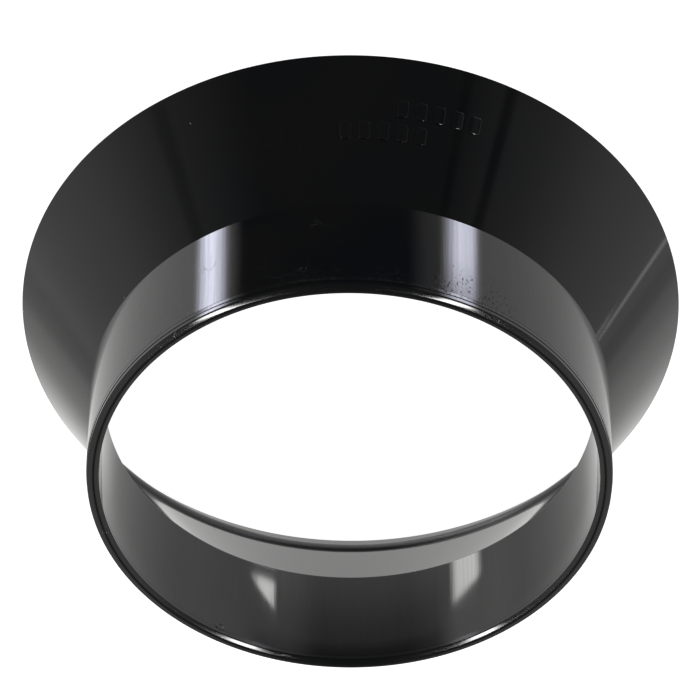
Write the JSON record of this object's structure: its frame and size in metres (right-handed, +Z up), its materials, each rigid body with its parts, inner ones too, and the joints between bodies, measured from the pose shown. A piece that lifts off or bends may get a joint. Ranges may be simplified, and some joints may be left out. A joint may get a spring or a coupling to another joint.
{
  "type": "pipe collar",
  "caption": "Short tube that slides on a soil pipe and opens into a conical skirt, to cover and weather the joint round the pipe.",
  "frame": {"origin": "on the axis of the pipe, in the plane that the skirt's wide rim stands on", "axes": "+Z up along the axis of the pipe, from the wide rim to the open end of the tube; +X and +Y are set by the two gate vestiges, which lie at 58 and 238 degrees from +X, and -Y is the side with the raised marks"},
  "size_m": [0.1516, 0.1516, 0.0572],
  "materials": {
    "black_pvc": "gloss"
  },
  "bodies": {
    "root": {"pipe_collar": "black_pvc", "collar_end_bead": "black_pvc", "weathering_skirt": "black_pvc", "skirt_inner_ridge": "black_pvc", "gate_vestiges": "black_pvc", "moulded_marks": "black_pvc"}
  },
  "joints": []
}
